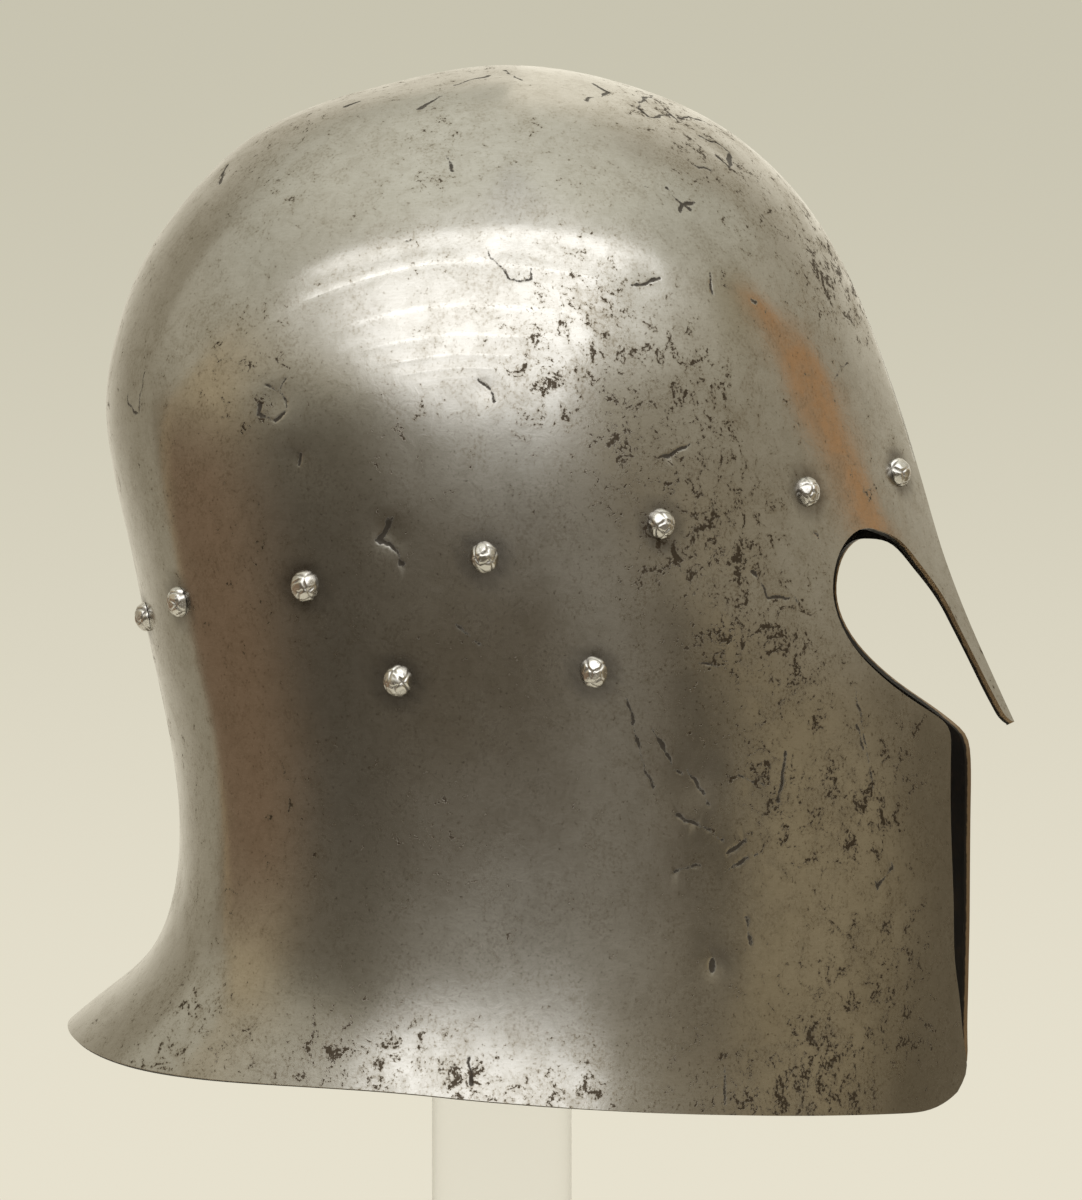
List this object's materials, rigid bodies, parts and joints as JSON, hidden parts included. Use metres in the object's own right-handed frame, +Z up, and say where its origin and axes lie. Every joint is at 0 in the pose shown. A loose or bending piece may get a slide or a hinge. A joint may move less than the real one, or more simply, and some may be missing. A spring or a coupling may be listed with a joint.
{
  "type": "barbute on a post stand",
  "caption": "Open-faced steel helmet with a keeled crown, pointed nasal, T-shaped face opening and swept nape, resting on a plain round post with a disc foot.",
  "frame": {"origin": "centre of the underside of the stand's round foot", "axes": "+Z up along the post, -Y out of the face opening, -X towards the wearer's right"},
  "size_m": [0.21, 0.2565, 0.3934],
  "materials": {
    "skull_steel": "old polished steel, pitted and patinated",
    "rivet_steel": "hammered rivet heads",
    "clear_acrylic": "clear polished acrylic"
  },
  "bodies": {
    "root": {"skull": "skull_steel", "lining_rivet_right_1": "rivet_steel", "lining_rivet_right_2": "rivet_steel", "lining_rivet_right_3": "rivet_steel", "lining_rivet_right_4": "rivet_steel", "lining_rivet_right_5": "rivet_steel", "lining_rivet_right_6": "rivet_steel", "lining_rivet_right_7": "rivet_steel", "lining_rivet_left_1": "rivet_steel", "lining_rivet_left_2": "rivet_steel", "lining_rivet_left_3": "rivet_steel", "lining_rivet_left_4": "rivet_steel", "lining_rivet_left_5": "rivet_steel", "lining_rivet_left_6": "rivet_steel", "lining_rivet_left_7": "rivet_steel", "strap_rivet_right_1": "rivet_steel", "strap_rivet_right_2": "rivet_steel", "strap_rivet_left_1": "rivet_steel", "strap_rivet_left_2": "rivet_steel", "stand_post": "clear_acrylic", "stand_base": "clear_acrylic"}
  },
  "joints": []
}
